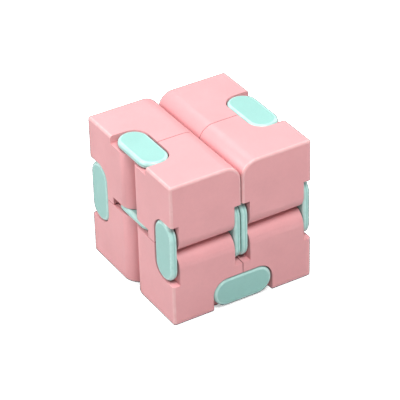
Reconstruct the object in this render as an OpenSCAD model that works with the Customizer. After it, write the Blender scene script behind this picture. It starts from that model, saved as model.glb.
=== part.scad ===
// Folding fidget cube. Eight small hollow cubes are joined in one closed loop by eight
// double-pivot hinges, so that the block folds inside out without end.
// Millimetres, Z up. The origin is the middle of the closed block's underside.

/* [Block] */
// Width of the closed block
block_w = 40; // [38:1:50]
// Gap between neighbouring small cubes
cube_gap = 0.2; // [0.1:0.05:0.3]

/* [Hinges] */
// Distance from a pivot to the seam it folds about, and to the open side beside it
pivot_inset = 4.4; // [4.2:0.1:4.6]
// Radius of a link plate's round ends
plate_r = 3.95; // [3.8:0.05:4]
// Thickness of a link plate
plate_t = 1.9; // [1.6:0.1:2]
// Space between a link plate's edge and the wall of its pocket
pocket_gap = 0.25; // [0.2:0.05:0.3]
// Space between a link plate and the floor of its pocket
plate_lift = 0.2; // [0.1:0.05:0.3]
// Diameter of a hinge pin
pin_d = 2; // [1.6:0.1:2.2]
// Running clearance round a pin, on the radius
pin_clearance = 0.05; // [0.03:0.01:0.08]
// Depth that a pin is pressed into a link plate
pin_seat = 1.2; // [1:0.1:1.3]
// Chamfer on the ends of a pin
pin_chamfer = 0.15; // [0.1:0.05:0.3]

/* [Casing] */
// Wall of a small cube's casing
wall = 1.8; // [1.6:0.1:2]
// Radius of the tube that a pin runs through
sleeve_r = 2.5; // [2.3:0.1:2.7]
// Wall left behind and round a link plate's pocket
pocket_wall = 1.2; // [1:0.1:1.3]

/* [Cover] */
// Thickness of the cover that closes a casing
cover_t = 1; // [0.8:0.1:1.2]
// Width of casing left round the cover
cover_rim = 0.9; // [0.8:0.1:1.1]
// Space between the cover's edge and its seat
cover_gap = 0.08; // [0.05:0.01:0.12]
// Diameter of the cover's locating pegs
peg_d = 1.8; // [1.6:0.1:2]
// Space round a peg in its socket
peg_gap = 0.05; // [0.03:0.01:0.1]
// Length of a peg below the cover
peg_length = 7.2; // [6:0.2:8]
// Wall round a peg's socket
socket_wall = 0.9; // [0.8:0.1:1.2]
// From the cover's underside down to the top of a socket
socket_drop = 3.5; // [3:0.1:4]
// From a side wall to the middle of a socket beside it
socket_inset = 1; // [0.8:0.1:1.2]

/* [Hidden] */
$fn = 96;
casing_colour = [0.93, 0.71, 0.73];
cover_colour = [0.89, 0.66, 0.69];
plate_colour = [0.66, 0.88, 0.83];
pin_colour = [0.75, 0.76, 0.78];
beyond = 1;                                // how far a cut runs past the face it opens
cube_w = (block_w - cube_gap) / 2;         // side of one small cube
half = cube_w / 2;
pitch = cube_w + cube_gap;                 // from one small cube's middle to the next
pivot_place = pitch / 2 - pivot_inset;     // a pivot, from the small cube's middle
roll_r = half - pivot_place;               // rolled edge, concentric with its pivot
pocket_r = plate_r + pocket_gap;
pocket_depth = plate_t + plate_lift;
boss_r = pocket_r + pocket_wall;
boss_depth = pocket_depth + pocket_wall;
cavity_half = half - wall;
seat_half = half - cover_rim;              // the cover's seat, on the three sides by a wall
seat_end = pivot_place - boss_r - peg_gap; // and on the side by the hinge
ledge_w = wall - cover_rim;
socket_r = peg_d / 2 + peg_gap + socket_wall;
socket_x = -half / 2;
socket_y = cavity_half - socket_inset;
socket_top = half - cover_t - socket_drop;
pin_length = cube_w - 2 * pocket_depth + 2 * plate_lift + 2 * pin_seat;
free_pin_length = cube_w - 2 * pocket_depth;

X = [1, 0, 0];
Y = [0, 1, 0];
Z = [0, 0, 1];

// One row for each small cube: its name, its place in the block, the open side of its
// first hinge, the seam side of its second hinge and the side its cover is on, which is
// the seam side of the first hinge.
CUBES = [
    ["upper_front_left", [-1, -1, 1], -X, -Z, Y],
    ["upper_rear_left", [-1, 1, 1], -X, -Z, -Y],
    ["lower_front_left", [-1, -1, -1], -Y, X, Z],
    ["lower_front_right", [1, -1, -1], -Y, -X, Z],
    ["upper_front_right", [1, -1, 1], X, -Z, Y],
    ["upper_rear_right", [1, 1, 1], X, -Z, -Y],
    ["lower_rear_left", [-1, 1, -1], Y, X, Z],
    ["lower_rear_right", [1, 1, -1], Y, -X, Z],
];

// One row for each hinge link: its name, the way from its first pivot to its second, its
// open side, the way along its pins to its outer plate, and the names of its two pins.
LINKS = [
    ["top_left", Y, -X, Z, ["front", "rear"]],
    ["front_left", -Z, -Y, -X, ["upper", "lower"]],
    ["bottom_front", X, -Z, -Y, ["left", "right"]],
    ["front_right", -Z, -Y, X, ["upper", "lower"]],
    ["top_right", Y, X, Z, ["front", "rear"]],
    ["rear_right", -Z, Y, X, ["upper", "lower"]],
    ["bottom_rear", X, -Z, Y, ["left", "right"]],
    ["rear_left", -Z, Y, -X, ["upper", "lower"]],
];

// The loop's last pivot, whose pin stays in its small cube, clear of the link's plates
FREE_PIN = "top_left_rear_pin";

// Places children in a frame given by its three directions and its origin
module in_frame(x, y, z, origin = [0, 0, 0]) {
    multmatrix([for (i = [0:2]) [x[i], y[i], z[i], origin[i]]]) children();
}

// A small cube's own frame: X to the first hinge's open side, Y to the second hinge's
// seam, Z to the cover
module in_cube(c) {
    in_frame(c[2], c[3], c[4], c[1] * pitch / 2 + [0, 0, block_w / 2]) children();
}

// A link's own frame: X from its first pivot to its second, Y to its open side, Z along
// its pins to its outer plate
module in_link(k) {
    middle = k[2] * (pitch - pivot_inset) + k[3] * pitch / 2 + [0, 0, block_w / 2];
    in_frame(k[1], k[2], k[3], middle) children();
}

// A hinge edge of a small cube: X to the seam, Y to the open side, Z along the pin
module at_first_hinge() {
    in_frame(Z, X, Y, [pivot_place, 0, pivot_place]) children();
}

module at_second_hinge() {
    in_frame(Y, -Z, -X, [0, pivot_place, -pivot_place]) children();
}

module at_both_hinges() {
    at_first_hinge() children();
    at_second_hinge() children();
}

// The edge across the small cube from both hinges, in the same way
module at_third_edge() {
    in_frame(-X, -Y, Z, [-pivot_place, -pivot_place, 0]) children();
}

// What is cut from a square edge to roll it to radius r
module roll_cut(r) {
    difference() {
        translate([0, 0, -half - beyond])
            cube([pivot_inset + beyond, pivot_inset + beyond, cube_w + 2 * beyond]);
        cylinder(r = r, h = cube_w + 4 * beyond, center = true);
    }
}

// Outline within reach r of a pivot, run straight out to the seam and the open side
module reach(r) {
    circle(r = r);
    translate([0, -r]) square([pivot_inset, r + pivot_inset]);
    translate([-r, 0]) square([r + pivot_inset, pivot_inset]);
}

// Both ends of a hinge edge, from the faces inwards to a depth
module both_ends(depth, past = 0) {
    for (side = [0, 1])
        mirror([0, 0, side])
            translate([0, 0, half - depth]) linear_extrude(depth + past) children();
}

// Pin tube, and the backing of the two pockets
module hinge_core() {
    cylinder(r = sleeve_r, h = cube_w, center = true);
    translate([0, 0, -half]) cube([pivot_inset, pivot_inset, cube_w]);
    both_ends(boss_depth) reach(boss_r);
}

// Pin bore, and the two pockets that the link plates swing in
module hinge_cuts() {
    cylinder(d = pin_d + 2 * pin_clearance, h = cube_w, center = true);
    both_ends(pocket_depth, beyond) reach(pocket_r);
}

// Small cube's outside. Its third edge rolls against a neighbour that it isn't hinged to.
module rolled_block() {
    difference() {
        cube(cube_w, center = true);
        at_both_hinges() roll_cut(roll_r);
        at_third_edge() roll_cut(roll_r);
    }
}

module cavity() {
    difference() {
        union() {
            cube(2 * cavity_half, center = true);
            translate([-cavity_half, -cavity_half, 0])
                cube([cavity_half + seat_end - ledge_w, 2 * cavity_half, half + beyond]);
        }
        at_third_edge() roll_cut(roll_r - wall);
    }
}

// The cover's outline, smaller all round by inset, from its underside up by height
module cover_slab(inset, height) {
    difference() {
        translate([-seat_half + inset, -seat_half + inset, half - cover_t])
            cube([seat_half + seat_end - 2 * inset, 2 * (seat_half - inset), height]);
        at_third_edge() roll_cut(roll_r - cover_rim - inset);
    }
}

module at_sockets() {
    for (side = [-1, 1]) translate([socket_x, side * socket_y, 0]) children();
}

// Casing of a small cube, open at its cover's seat
module shell(c) {
    color(casing_colour) in_cube(c) difference() {
        intersection() {
            rolled_block();
            union() {
                difference() {
                    cube(cube_w, center = true);
                    cavity();
                }
                at_both_hinges() hinge_core();
                at_sockets() translate([0, 0, -half])
                    cylinder(r = socket_r, h = half + socket_top);
            }
        }
        at_both_hinges() hinge_cuts();
        cover_slab(0, cover_t + beyond);
        at_sockets() translate([0, 0, half - cover_t - peg_length - peg_gap])
            cylinder(d = peg_d + 2 * peg_gap, h = peg_length);
    }
}

// Cover with its two locating pegs
module cover(c) {
    color(cover_colour) in_cube(c) {
        cover_slab(cover_gap, cover_t);
        at_sockets() translate([0, 0, half - cover_t - peg_length])
            cylinder(d = peg_d, h = peg_length);
    }
}

// Oval plate at one end of a hinge, with a blind hole at each pivot for a pin
module plate(k, outer) {
    color(plate_colour) in_link(k) mirror([0, 0, outer ? 0 : 1]) difference() {
        translate([0, 0, half - plate_t]) linear_extrude(plate_t) {
            for (side = [-1, 1]) translate([side * pivot_inset, 0]) circle(r = plate_r);
            square([2 * pivot_inset, 2 * plate_r], center = true);
        }
        for (side = [-1, 1])
            translate([side * pivot_inset, 0, half - plate_t - beyond])
                cylinder(d = pin_d, h = pin_seat + beyond);
    }
}

// Pin at a link's first (0) or second (1) pivot
module pin(k, index, length) {
    color(pin_colour) in_link(k)
        translate([(2 * index - 1) * pivot_inset, 0, 0])
            for (side = [0, 1]) mirror([0, 0, side]) {
                straight = length / 2 - pin_chamfer;
                cylinder(d = pin_d, h = straight);
                translate([0, 0, straight])
                    cylinder(d1 = pin_d, d2 = pin_d - 2 * pin_chamfer, h = pin_chamfer);
            }
}

for (c = CUBES) {
    shell(c);
    cover(c);
}
for (k = LINKS) {
    plate(k, true);
    plate(k, false);
    for (index = [0, 1]) {
        name = str(k[0], "_", k[4][index], "_pin");
        pin(k, index, name == FREE_PIN ? free_pin_length : pin_length);
    }
}
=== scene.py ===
"""Folding fidget cube: edges, materials, light, floor and camera round the frame, in metres."""

import math

import bpy
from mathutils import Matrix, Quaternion, Vector


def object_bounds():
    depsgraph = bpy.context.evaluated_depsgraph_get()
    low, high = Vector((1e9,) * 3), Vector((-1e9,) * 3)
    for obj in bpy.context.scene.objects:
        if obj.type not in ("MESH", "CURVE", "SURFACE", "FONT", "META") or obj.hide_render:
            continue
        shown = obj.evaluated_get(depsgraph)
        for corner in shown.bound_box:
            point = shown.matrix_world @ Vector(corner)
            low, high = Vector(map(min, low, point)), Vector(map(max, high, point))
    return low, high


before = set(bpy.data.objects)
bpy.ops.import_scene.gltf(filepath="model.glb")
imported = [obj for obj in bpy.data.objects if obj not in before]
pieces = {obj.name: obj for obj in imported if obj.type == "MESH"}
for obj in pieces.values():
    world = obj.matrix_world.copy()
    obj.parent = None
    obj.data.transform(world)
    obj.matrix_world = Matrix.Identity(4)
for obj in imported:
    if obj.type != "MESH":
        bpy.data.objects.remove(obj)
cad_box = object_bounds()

MM = 0.001

# ---------------------------------------------------------------- camera
VIEW_AZIMUTH, VIEW_ELEVATION, VIEW_ROLL = -30.49, 33.24, -1.57  # degrees
VIEW_DISTANCE = 532.4 * MM
VIEW_OFFSET = (-0.02 * MM, -0.92 * MM)  # to the right and up, in the camera's own plane
LENS, SENSOR = 191.2, 36.0


def make_camera(centre):
    azimuth, elevation = math.radians(VIEW_AZIMUTH), math.radians(VIEW_ELEVATION)
    back = Vector((
        math.sin(azimuth) * math.cos(elevation),
        -math.cos(azimuth) * math.cos(elevation),
        math.sin(elevation),
    ))
    level = (-back).to_track_quat("-Z", "Y")
    data = bpy.data.cameras.new("camera")
    data.lens, data.sensor_width = LENS, SENSOR
    data.clip_start, data.clip_end = 10 * MM, 10
    camera = bpy.data.objects.new("camera", data)
    bpy.context.scene.collection.objects.link(camera)
    camera.rotation_mode = "QUATERNION"
    camera.rotation_quaternion = level @ Quaternion((0, 0, 1), math.radians(VIEW_ROLL))
    offset = level @ Vector((*VIEW_OFFSET, 0))
    camera.location = centre + back * VIEW_DISTANCE + offset
    bpy.context.scene.camera = camera


# ---------------------------------------------------------------- nodes
def first(tree, kind):
    """The tree's first node of a type."""
    return next(node for node in tree.nodes if node.type == kind)


def feed(tree, socket, value):
    """Sets a socket to a value, or links it to another socket."""
    if isinstance(value, bpy.types.NodeSocket):
        tree.links.new(value, socket)
    else:
        socket.default_value = value


class Sums:
    """Arithmetic on node sockets."""

    def __init__(self, tree):
        self.tree = tree

    def run(self, operation, *values):
        made = self.tree.nodes.new("ShaderNodeMath")
        made.operation = operation
        for socket, value in zip(made.inputs, values):
            feed(self.tree, socket, value)
        return made.outputs[0]

    def over(self, value, limit):
        return self.run("GREATER_THAN", value, limit)

    def under(self, value, limit):
        return self.run("LESS_THAN", value, limit)

    def every(self, *values):
        out = values[0]
        for value in values[1:]:
            out = self.run("MULTIPLY", out, value)
        return out

    def any(self, *values):
        out = values[0]
        for value in values[1:]:
            out = self.run("MAXIMUM", out, value)
        return out


def new_group(name):
    """A geometry node group with its sums, its incoming geometry and its outgoing socket."""
    group = bpy.data.node_groups.new(name, "GeometryNodeTree")
    for way in ("INPUT", "OUTPUT"):
        group.interface.new_socket("Geometry", in_out=way, socket_type="NodeSocketGeometry")
    geometry = group.nodes.new("NodeGroupInput").outputs[0]
    return group, Sums(group), geometry, group.nodes.new("NodeGroupOutput").inputs[0]


def store(group, geometry, name, domain, value):
    """The geometry with a value kept on each edge or face."""
    made = group.nodes.new("GeometryNodeStoreNamedAttribute")
    made.data_type, made.domain = "FLOAT", domain
    made.inputs["Name"].default_value = name
    group.links.new(value, made.inputs["Value"])
    group.links.new(geometry, made.inputs["Geometry"])
    return made.outputs[0]


# ---------------------------------------------------------------- light
REACH = 0.3
FILL = 0.21  # strength of the room's light from all round
# Name, place from the block's middle and width in multiples of REACH, power in watts
LIGHTS = (
    ("rear", (0.2, 1.1, 1.5), 1.1, 0.95),
    ("left", (-1.3, 0.6, 1.2), 1.0, 2.15),
    ("front", (-0.1, -0.9, 1.7), 0.9, 2.95),
    ("right", (1.6, 0.3, 0.7), 1.0, 0.8),
)


def make_world():
    """A white backdrop for the camera, and a dimmer white room for the light."""
    world = bpy.data.worlds.new("studio")
    world.use_nodes = True
    tree = world.node_tree
    fill = first(tree, "BACKGROUND")
    fill.inputs["Color"].default_value = (1, 1, 1, 1)
    fill.inputs["Strength"].default_value = FILL
    backdrop = tree.nodes.new("ShaderNodeBackground")
    backdrop.inputs["Color"].default_value = (1, 1, 1, 1)
    path = tree.nodes.new("ShaderNodeLightPath")
    mix = tree.nodes.new("ShaderNodeMixShader")
    tree.links.new(path.outputs["Is Camera Ray"], mix.inputs["Fac"])
    tree.links.new(fill.outputs[0], mix.inputs[1])
    tree.links.new(backdrop.outputs[0], mix.inputs[2])
    tree.links.new(mix.outputs[0], first(tree, "OUTPUT_WORLD").inputs["Surface"])
    bpy.context.scene.world = world
    bpy.context.scene.view_settings.view_transform = "Standard"


def area_light(name, place, size, power, target):
    data = bpy.data.lights.new(name, "AREA")
    data.shape = "DISK"
    data.size, data.energy = size, power
    light = bpy.data.objects.new(name, data)
    bpy.context.scene.collection.objects.link(light)
    light.location = place
    light.rotation_mode = "QUATERNION"
    light.rotation_quaternion = (place - target).to_track_quat("Z", "Y")


# ---------------------------------------------------------------- floor
FLOOR_SIZE = 4
FLOOR_CLEAR = 0.3  # how see-through it is, which keeps its shadow faint


def paper(name):
    material = bpy.data.materials.new(name)
    material.use_nodes = True
    tree = material.node_tree
    mix = tree.nodes.new("ShaderNodeMixShader")
    mix.inputs["Fac"].default_value = FLOOR_CLEAR
    clear = tree.nodes.new("ShaderNodeBsdfTransparent")
    tree.links.new(first(tree, "BSDF_PRINCIPLED").outputs[0], mix.inputs[1])
    tree.links.new(clear.outputs[0], mix.inputs[2])
    tree.links.new(mix.outputs[0], first(tree, "OUTPUT_MATERIAL").inputs["Surface"])
    return material


def lowest_level(pieces):
    """Node group that takes the floor to the pieces' lowest point, which a fold can lower."""
    group, _, geometry, leave = new_group("level")
    nodes, links = group.nodes, group.links
    joined = nodes.new("GeometryNodeJoinGeometry")
    for piece in pieces:
        info = nodes.new("GeometryNodeObjectInfo")
        info.transform_space = "RELATIVE"
        info.inputs["Object"].default_value = piece
        links.new(info.outputs["Geometry"], joined.inputs[0])
    box = nodes.new("GeometryNodeBoundBox")
    links.new(joined.outputs[0], box.inputs[0])
    height = nodes.new("ShaderNodeVectorMath")
    height.operation = "MULTIPLY"
    height.inputs[1].default_value = (0, 0, 1)
    links.new(box.outputs["Min"], height.inputs[0])
    moved = nodes.new("GeometryNodeTransform")
    links.new(geometry, moved.inputs["Geometry"])
    links.new(height.outputs[0], moved.inputs["Translation"])
    links.new(moved.outputs[0], leave)
    return group


def make_floor(pieces):
    """Pale floor that shows only a faint shadow."""
    bpy.ops.mesh.primitive_plane_add(size=FLOOR_SIZE)
    floor = bpy.context.object
    floor.name = "floor"
    floor.is_shadow_catcher = True
    floor.data.materials.append(paper("paper"))
    floor.modifiers.new("level", "NODES").node_group = lowest_level(pieces)


# ---------------------------------------------------------------- edges
OUTER_EDGE, PLATE_EDGE, SMALL_EDGE = 0.65 * MM, 0.8 * MM, 0.07 * MM  # widths of the rounding
SHARP = math.radians(30)  # only edges that turn more than this are rounded
FLAT = math.radians(0.5)  # faces that turn less than this from each other become one
WELD = 1e-7  # points closer than this are one
NEAR = 0.3 * MM  # an edge this close to a side or a seam lies on it
SEAM = 0.102 * MM  # a touch more than half the gap between two small cubes
ROLL = 4.7 * MM  # a rolled edge's end lies within this of its seam and its side
POCKET = 8 * MM  # a seam's edges further from the middle than this lie beyond the pocket
RIM = 2.4 * MM  # the edges round a link plate's faces lie within this of its sides
THIN = 3 * MM  # more than a link plate's thickness, less than its width


def edge_marks(name, low, high, broad):
    """Node group that marks which casing edges the next bevel rounds. The broad ones are the
    block's outside corners and the ends of the rolled edges down to the pockets; the fine
    ones are the seams and pocket mouths, except where a front and a rear small cube touch."""
    group, sums, geometry, leave = new_group(name)
    nodes = group.nodes
    place = nodes.new("ShaderNodeSeparateXYZ")
    group.links.new(nodes.new("GeometryNodeInputPosition").outputs[0], place.inputs[0])
    middle, half = (low + high) / 2, (high - low) / 2
    height = sums.run("SUBTRACT", place.outputs[2], middle.z)
    across, along, up = (
        sums.run("ABSOLUTE", v) for v in (place.outputs[0], place.outputs[1], height)
    )
    outer = [sums.over(v, h - NEAR) for v, h in zip((across, along, up), half)]
    seam = [sums.under(v, NEAR) for v in (across, along, up)]
    if broad:
        sides = sums.run("ADD", sums.run("ADD", outer[0], outer[1]), outer[2])
        corner = sums.over(sides, 1.5)  # on two sides or three
        top_roll = sums.every(
            outer[1], sums.under(across, ROLL), sums.over(height, half.z - ROLL)
        )
        top_seam = sums.every(outer[1], seam[0], sums.over(height, POCKET))
        below = sums.under(height, NEAR - half.z)
        side_roll = sums.every(below, sums.under(along, ROLL), sums.over(across, half.x - ROLL))
        side_seam = sums.every(below, seam[1], sums.over(across, POCKET))
        mask = sums.any(corner, top_roll, top_seam, side_roll, side_seam)
    else:
        # where the upper and lower small cubes meet, the edges need their rounding all along
        touching = sums.every(sums.under(along, SEAM), sums.over(up, NEAR))
        mask = sums.over(sums.run("SUBTRACT", sums.any(*outer, *seam), touching), 0.5)
    sharp = sums.over(nodes.new("GeometryNodeInputMeshEdgeAngle").outputs[0], SHARP)
    mark = sums.every(sharp, mask)
    group.links.new(store(group, geometry, "bevel_weight_edge", "EDGE", mark), leave)
    return group


def outline_marks():
    """Node group that marks the edges round a link plate's two faces, but not its pin holes'."""
    group, sums, geometry, leave = new_group("outline")
    nodes, links = group.nodes, group.links
    box = nodes.new("GeometryNodeBoundBox")
    links.new(geometry, box.inputs[0])
    place = nodes.new("GeometryNodeInputPosition").outputs[0]

    def apart(start, end):
        gap = nodes.new("ShaderNodeVectorMath")
        gap.operation = "SUBTRACT"
        links.new(start, gap.inputs[0])
        links.new(end, gap.inputs[1])
        split = nodes.new("ShaderNodeSeparateXYZ")
        links.new(gap.outputs[0], split.inputs[0])
        return split.outputs

    spans = apart(box.outputs["Max"], box.outputs["Min"])
    sides = zip(spans, apart(place, box.outputs["Min"]), apart(box.outputs["Max"], place))
    mask = sums.any(*(
        sums.every(sums.over(span, THIN), sums.under(sums.run("MINIMUM", near, far), RIM))
        for span, near, far in sides
    ))
    sharp = sums.over(nodes.new("GeometryNodeInputMeshEdgeAngle").outputs[0], SHARP)
    mark = sums.every(sharp, mask)
    links.new(store(group, geometry, "bevel_weight_edge", "EDGE", mark), leave)
    return group


def rim_marks():
    """Node group that marks the faces of the rounded edges, which have the second slot."""
    group, sums, geometry, leave = new_group("rim_marks")
    index = group.nodes.new("GeometryNodeInputMaterialIndex").outputs[0]
    marked = store(group, geometry, "rim", "FACE", sums.over(index, 0.5))
    back = group.nodes.new("GeometryNodeSetMaterialIndex")
    group.links.new(marked, back.inputs["Geometry"])
    group.links.new(back.outputs[0], leave)
    return group


def soften(piece, rims, *passes):
    """Rounds the piece's edges, as a moulded part's are, and keeps its flat faces flat. Each
    pass is a width, a number of segments and the marks of its edges (none: every edge)."""
    weld = piece.modifiers.new("weld", "WELD")
    weld.merge_threshold = WELD
    flat = piece.modifiers.new("flat", "DECIMATE")
    flat.decimate_type = "DISSOLVE"
    flat.angle_limit = FLAT
    for slot, (width, segments, marks) in enumerate(passes):
        if marks:
            piece.modifiers.new("marks", "NODES").node_group = marks
        bevel = piece.modifiers.new("edges", "BEVEL")
        bevel.width, bevel.segments, bevel.use_clamp_overlap = width, segments, False
        bevel.limit_method, bevel.angle_limit = ("WEIGHT" if marks else "ANGLE"), SHARP
        bevel.miter_outer = "MITER_ARC"
        bevel.harden_normals = True
        bevel.material = -1 if slot else 1  # only the first pass's faces count as rims
    piece.modifiers.new("rims", "NODES").node_group = rims


# ---------------------------------------------------------------- materials
# The paler second colours go on the rounded edges: wear and a painted highlight
PINK, PINK_WORN_AND_HIGHLIT = (0.735, 0.345, 0.361), (0.79, 0.465, 0.465)
MINT, MINT_WORN_AND_HIGHLIT = (0.295, 0.56, 0.515), (0.50, 0.76, 0.715)
STEEL = (0.62, 0.63, 0.65)
COVER_SHADE = 0.97  # of the casings' pink
STEEL_SHADE = 0.85  # of the steel's colour, in the grain's hollows
USUAL_NOISE = (0.3, 0.7)  # nearly all of a noise's values
GAP_REACH = 0.6 * MM  # faces closer than this darken each other's colour: painted shade
GAP_LIGHT = (0.05, 0.45)  # ambient occlusion where a gap's painted shade is darkest and where it ends
WORN_GLOSS = 0.12  # how much smoother worn edges are


class Finish:
    """A new material with its surface's sockets, and patterns to feed them."""

    def __init__(self, name):
        self.material = bpy.data.materials.new(name)
        self.material.use_nodes = True
        self.tree = self.material.node_tree
        self.sums = Sums(self.tree)
        self.inputs = first(self.tree, "BSDF_PRINCIPLED").inputs
        self.place = self.tree.nodes.new("ShaderNodeTexCoord").outputs["Object"]

    def noise(self, size, detail=2.0):
        made = self.tree.nodes.new("ShaderNodeTexNoise")
        made.inputs["Scale"].default_value = 1 / size
        made.inputs["Detail"].default_value = detail
        self.tree.links.new(self.place, made.inputs["Vector"])
        return made.outputs["Fac"]

    def spread(self, value, low, high, source=USUAL_NOISE):
        made = self.tree.nodes.new("ShaderNodeMapRange")
        for socket, number in zip(made.inputs[1:5], (*source, low, high)):
            socket.default_value = number
        self.tree.links.new(value, made.inputs["Value"])
        return made.outputs["Result"]

    def scaled(self, colour, factor):
        made = self.tree.nodes.new("ShaderNodeVectorMath")
        made.operation = "SCALE"
        feed(self.tree, made.inputs[0], colour)
        feed(self.tree, made.inputs["Scale"], factor)
        return made.outputs[0]

    def mixed(self, amount, start, end):
        made = self.tree.nodes.new("ShaderNodeMix")
        made.data_type = "RGBA"
        for slot, value in ((0, amount), (6, start), (7, end)):
            feed(self.tree, made.inputs[slot], value)
        return made.outputs[2]

    def bumps(self, height, strength, depth):
        made = self.tree.nodes.new("ShaderNodeBump")
        made.inputs["Strength"].default_value = strength
        made.inputs["Distance"].default_value = depth
        self.tree.links.new(height, made.inputs["Height"])
        self.tree.links.new(made.outputs[0], self.inputs["Normal"])


def plastic(name, base, worn_and_highlit, roughness, painted_gap_shade=1.0):
    """Satin moulded plastic: faint mottling, fine spark-eroded grain, and rubbed edges that are
    paler and smoother, their paleness partly a painted highlight. In narrow gaps ambient
    occlusion darkens the colour down to a part of itself: painted shade."""
    finish = Finish(name)
    nodes, links, sums, inputs = finish.tree.nodes, finish.tree.links, finish.sums, finish.inputs
    rim = nodes.new("ShaderNodeAttribute")
    rim.attribute_name = "rim"
    # rounded edges, patchily paler and smoother: wear, and a painted highlight
    wear_and_highlight = sums.every(rim.outputs["Fac"], finish.spread(finish.noise(1.8 * MM), 0.5, 1.0))
    # painted shade: ambient occlusion darkens the colour in narrow gaps and seams, down to the
    # given part
    shade = nodes.new("ShaderNodeAmbientOcclusion")
    shade.samples = 8
    shade.inputs["Distance"].default_value = GAP_REACH
    gap = finish.spread(shade.outputs["AO"], painted_gap_shade, 1.0, GAP_LIGHT)

    mottle = finish.spread(finish.noise(9 * MM), 0.97, 1.03)
    speckle = finish.spread(finish.noise(0.7 * MM, 4), 0.985, 1.015)
    toned = finish.scaled(base, sums.every(mottle, speckle))
    coloured = finish.mixed(wear_and_highlight, toned, (*worn_and_highlit, 1))
    links.new(finish.scaled(coloured, gap), inputs["Base Color"])

    rough = finish.spread(finish.noise(3 * MM, 5), roughness - 0.05, roughness + 0.05)
    gloss = sums.run("MULTIPLY", wear_and_highlight, WORN_GLOSS)
    links.new(sums.run("SUBTRACT", rough, gloss), inputs["Roughness"])
    finish.bumps(finish.noise(0.16 * MM, 3), 0.12, 0.03 * MM)
    inputs["Subsurface Weight"].default_value = 0.06
    inputs["Subsurface Radius"].default_value = (1.0, 0.6, 0.6)
    inputs["Subsurface Scale"].default_value = 0.8 * MM
    return finish.material


def steel(name, base):
    """Ground steel: fine grain and a soft shine."""
    finish = Finish(name)
    links, inputs = finish.tree.links, finish.inputs
    grind = finish.noise(0.12 * MM, 4)
    links.new(finish.spread(grind, 0.22, 0.42, (0, 1)), inputs["Roughness"])
    dark = (*(STEEL_SHADE * c for c in base), 1)
    links.new(finish.mixed(grind, dark, (*base, 1)), inputs["Base Color"])
    finish.bumps(grind, 0.1, 0.01 * MM)
    inputs["Metallic"].default_value = 1
    return finish.material


# ---------------------------------------------------------------- the scene
low, high = cad_box
centre = (low + high) / 2
make_camera(centre)
make_world()
for name, place, size, power in LIGHTS:
    area_light(name, centre + Vector(place) * REACH, size * REACH, power, centre)
make_floor(pieces.values())

# the last argument sets how dark the painted shade in narrow gaps gets
finishes = {
    "shell": plastic("casing", PINK, PINK_WORN_AND_HIGHLIT, 0.42, painted_gap_shade=0.5),
    "cover": plastic("cover", tuple(COVER_SHADE * c for c in PINK), PINK_WORN_AND_HIGHLIT, 0.46),
    "plate": plastic("plate", MINT, MINT_WORN_AND_HIGHLIT, 0.36, painted_gap_shade=0.35),
    "pin": steel("pin", STEEL),
}
broad, fine = edge_marks("broad", low, high, True), edge_marks("fine", low, high, False)
outline, rims = outline_marks(), rim_marks()
passes = {
    "shell": ((OUTER_EDGE, 4, broad), (SMALL_EDGE, 2, fine)),
    "plate": ((PLATE_EDGE, 4, outline),),
    "cover": ((SMALL_EDGE, 2, None),),
    "pin": ((SMALL_EDGE, 2, None),),
}
for node, piece in pieces.items():
    kind = node.rsplit("_", 1)[1]
    piece.data.materials.clear()
    for _ in range(2):
        piece.data.materials.append(finishes[kind])
    soften(piece, rims, *passes[kind])
